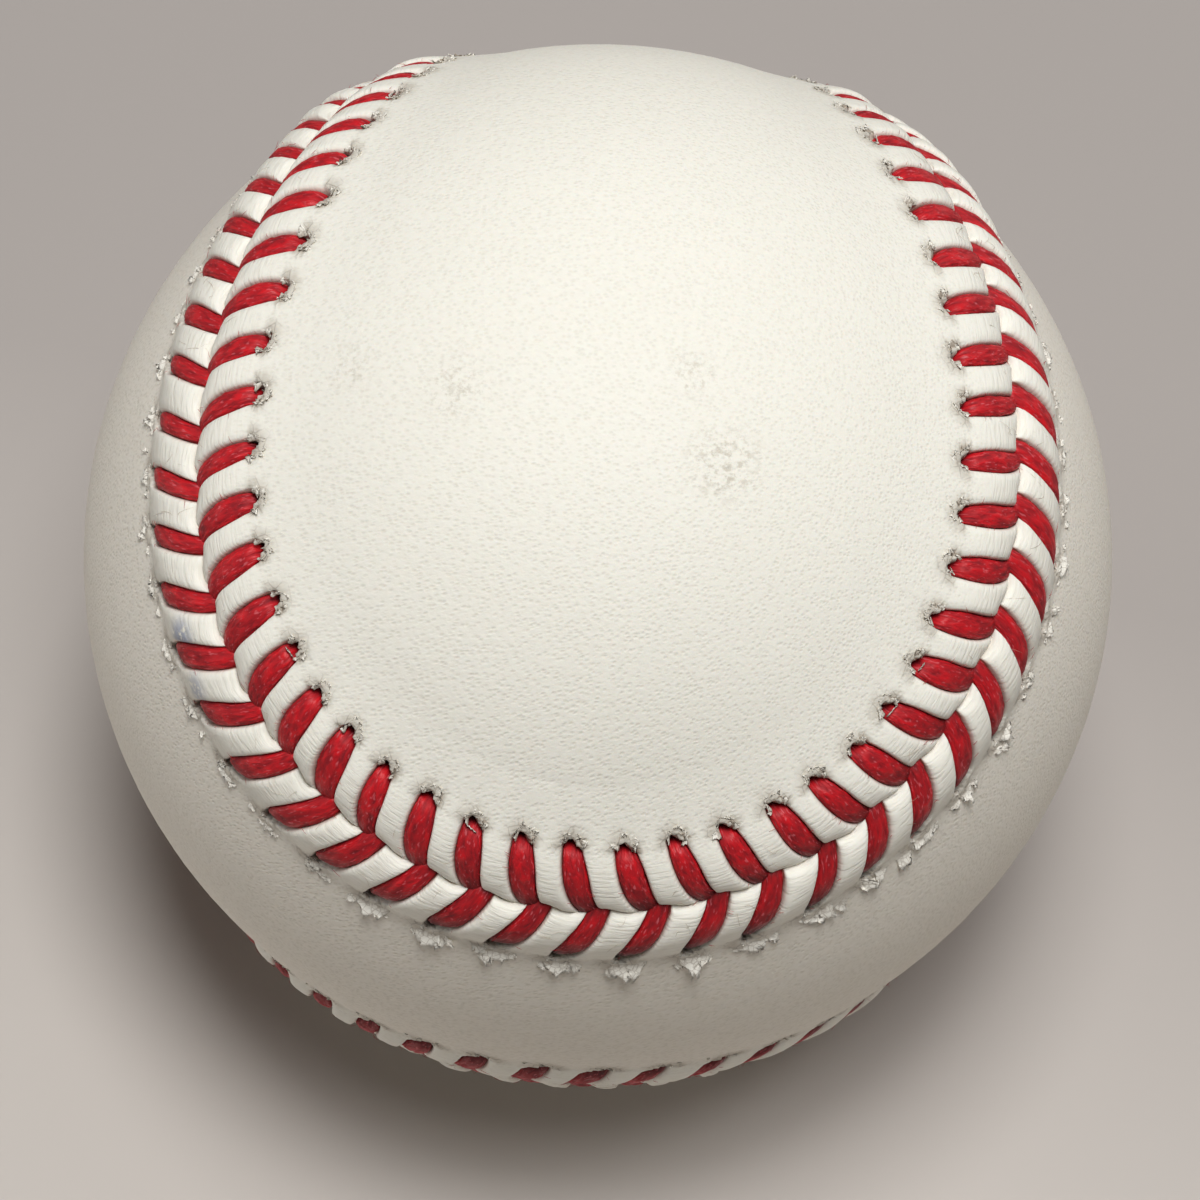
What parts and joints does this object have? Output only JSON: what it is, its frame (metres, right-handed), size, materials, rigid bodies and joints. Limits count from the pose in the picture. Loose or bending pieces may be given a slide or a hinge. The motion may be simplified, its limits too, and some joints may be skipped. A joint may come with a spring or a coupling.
{
  "type": "baseball",
  "caption": "White leather baseball: layered rubber and yarn core under two interlocking figure-eight panels, closed by a raised seam of red V stitches.",
  "frame": {"origin": "centre of the ball", "axes": "+Z out through the middle of a lobe of the top panel, which is the lobe that the picture shows; -Y out through the waist of the front panel; +X to the right"},
  "size_m": [0.0742, 0.0742, 0.0742],
  "materials": {
    "cork_composition": "matte ground cork bound in rubber",
    "black_rubber": "moulded, matte",
    "red_rubber": "moulded, matte",
    "gray_wool": "wound three-ply wool yarn",
    "white_yarn": "wound cotton finishing yarn under rubber cement",
    "cover_leather": "smooth alum-tanned leather, satin, lightly grained",
    "waxed_thread": "waxed twisted thread, low sheen"
  },
  "bodies": {
    "root": {"cork_core": "cork_composition", "black_rubber_shell_upper": "black_rubber", "black_rubber_shell_lower": "black_rubber", "rubber_gasket": "red_rubber", "red_rubber_jacket": "red_rubber", "gray_wool_inner_winding": "gray_wool", "white_wool_winding": "white_yarn", "gray_wool_outer_winding": "gray_wool", "finishing_winding": "white_yarn", "cover_panel_top": "cover_leather", "cover_panel_front": "cover_leather", "seam_thread": "waxed_thread"}
  },
  "joints": []
}
